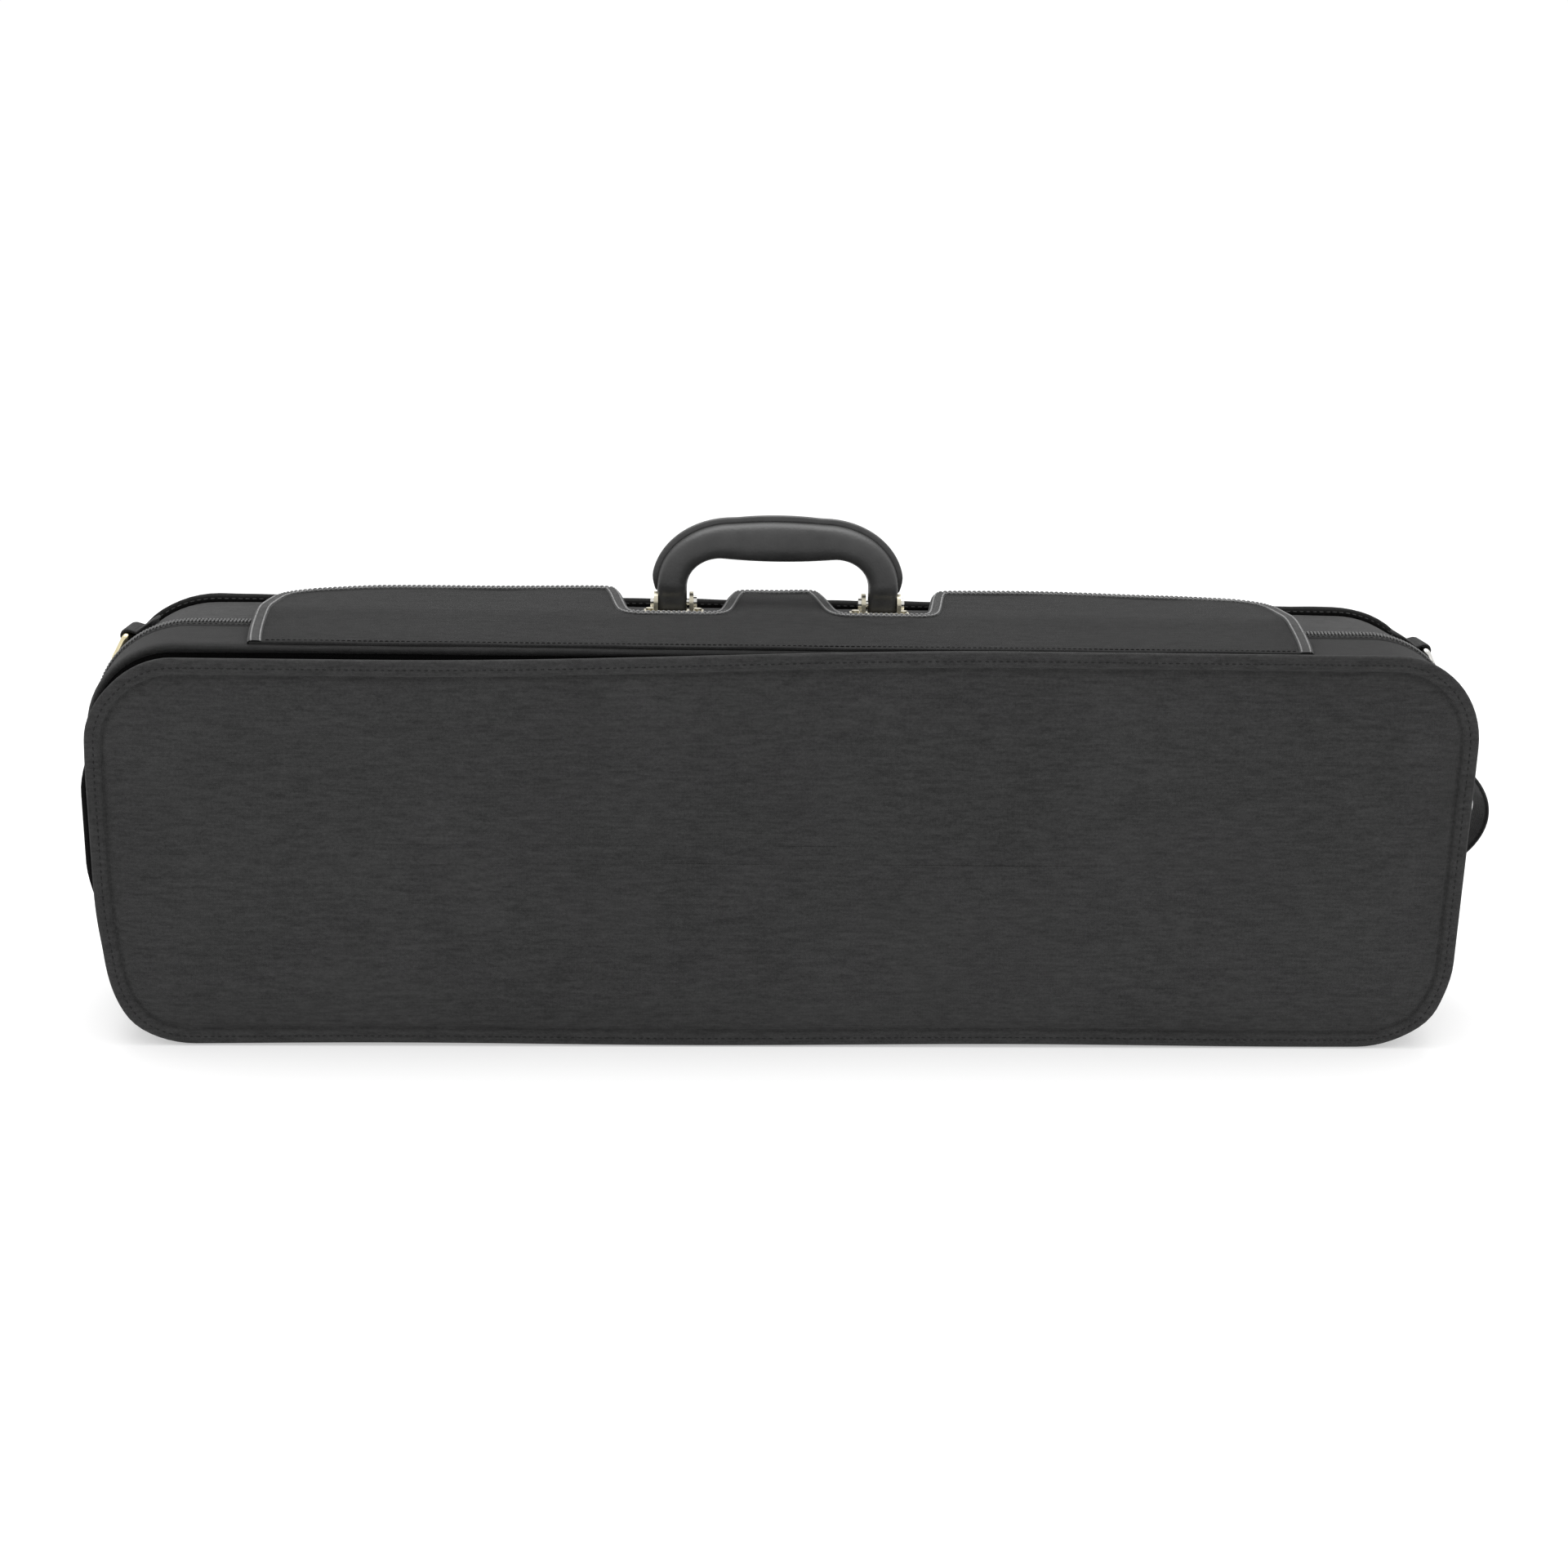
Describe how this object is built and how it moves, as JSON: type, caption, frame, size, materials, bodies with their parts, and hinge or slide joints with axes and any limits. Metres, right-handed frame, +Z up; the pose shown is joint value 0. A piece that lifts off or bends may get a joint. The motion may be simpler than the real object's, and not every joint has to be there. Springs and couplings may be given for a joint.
{
  "type": "oblong violin case",
  "caption": "Oblong zipped violin case with a carrying handle, a flap over the zip, a music pocket on its lid and a fitted plush inside.",
  "frame": {"origin": "middle of the spine face that the case stands on", "axes": "+X along the case to the right seen from the lid, +Y from the lid to the back, +Z up"},
  "size_m": [0.8495, 0.136, 0.298],
  "materials": {
    "cover_cloth": "matt black woven polyester",
    "binding_tape": "black grosgrain edge tape with grey stitching",
    "webbing": "black ribbed webbing",
    "plush": "short dark pile",
    "shell_board": "moulded composite shell",
    "zip_plastic": "nylon zip teeth",
    "handle_skin": "black leather-look moulded skin",
    "nickel": "bright nickel plate",
    "brass_plate": "pale brass plate",
    "key_plastic": "black moulded keys"
  },
  "bodies": {
    "base": {"base_cover": "cover_cloth", "base_shell": "shell_board", "rear_binding": "binding_tape", "spine_hinge_tape": "webbing", "violin_cradle": "plush", "neck_insert": "plush", "end_tray": "plush", "neck_cradle": "plush", "neck_strap": "webbing", "zip_tape_base": "zip_plastic", "zip_teeth_base": "zip_plastic", "handle_brackets": "brass_plate", "handle_pins": "nickel", "handle_rivets": "brass_plate", "corner_tab_right": "webbing", "corner_tab_left": "webbing", "side_tab": "webbing", "end_grab_loop": "webbing"},
    "lid": {"lid_cover": "cover_cloth", "lid_shell": "shell_board", "lid_lining": "plush", "music_pocket": "cover_cloth", "pocket_binding": "binding_tape", "zip_tape_lid": "zip_plastic", "zip_teeth_lid": "zip_plastic", "bow_holder_blocks": "plush", "bow_key_posts": "nickel", "bow_tip_sleeves": "plush"},
    "flap": {"zip_flap": "cover_cloth", "flap_binding": "binding_tape"},
    "handle": {"handle_grip": "handle_skin"},
    "slider_left": {"zip_slider_left": "nickel"},
    "slider_right": {"zip_slider_right": "nickel"},
    "pull_left": {"zip_pull_left": "nickel"},
    "pull_right": {"zip_pull_right": "nickel"},
    "ring_left": {"corner_ring_left": "brass_plate"},
    "ring_right": {"corner_ring_right": "nickel"},
    "ring_side": {"side_ring": "nickel"},
    "key_lower": {"bow_key_lower": "key_plastic"},
    "key_upper": {"bow_key_upper": "key_plastic"},
    "compartment_door": {"compartment_lid": "plush", "compartment_lid_ribbon": "webbing"}
  },
  "joints": [
    {"name": "lid_hinge", "type": "hinge", "parent": "base", "child": "lid", "pos_m": [0, -0.004, 0], "axis": [1, 0, 0], "range_deg": [0, 100], "deforming": ["spine_hinge_tape"]},
    {"name": "flap_seam", "type": "hinge", "parent": "lid", "child": "flap", "pos_m": [-0.0045, -0.057, 0.2364], "axis": [1, 0, 0], "range_deg": [0, 150], "deforming": ["zip_flap", "flap_binding"]},
    {"name": "handle_pivot", "type": "hinge", "parent": "base", "child": "handle", "pos_m": [-0.0045, 0.032, 0.2455], "axis": [1, 0, 0], "range_deg": [-62, 55]},
    {"name": "slider_left_run", "type": "slide", "parent": "base", "child": "slider_left", "axis": [-1, 0, 0], "range_m": [0, 0.25]},
    {"name": "slider_right_run", "type": "slide", "parent": "base", "child": "slider_right", "axis": [1, 0, 0], "range_m": [0, 0.25]},
    {"name": "pull_left_pivot", "type": "hinge", "parent": "slider_left", "child": "pull_left", "pos_m": [-0.0494, -0.004, 0.2405], "axis": [0, 1, 0], "range_deg": [0, 110]},
    {"name": "pull_right_pivot", "type": "hinge", "parent": "slider_right", "child": "pull_right", "pos_m": [0.0494, -0.004, 0.2405], "axis": [0, -1, 0], "range_deg": [0, 110]},
    {"name": "ring_left_swing", "type": "hinge", "parent": "base", "child": "ring_left", "pos_m": [-0.38969, 0.03, 0.22319], "axis": [0, 1, 0], "range_deg": [0, 110]},
    {"name": "ring_right_swing", "type": "hinge", "parent": "base", "child": "ring_right", "pos_m": [0.38969, 0.03, 0.22319], "axis": [0, -1, 0], "range_deg": [0, 110]},
    {"name": "ring_side_swing", "type": "hinge", "parent": "base", "child": "ring_side", "pos_m": [-0.4082, 0.03, 0.084], "axis": [0, 1, 0], "range_deg": [0, 110]},
    {"name": "key_lower_turn", "type": "hinge", "parent": "lid", "child": "key_lower", "pos_m": [0.298, -0.028, 0.093], "axis": [0, 1, 0], "range_deg": [0, 90]},
    {"name": "key_upper_turn", "type": "hinge", "parent": "lid", "child": "key_upper", "pos_m": [0.298, -0.028, 0.173], "axis": [0, 1, 0], "range_deg": [0, 90]},
    {"name": "compartment_hinge", "type": "hinge", "parent": "base", "child": "compartment_door", "pos_m": [0, -0.001, 0.2136], "axis": [-1, 0, 0], "range_deg": [0, 95]}
  ]
}
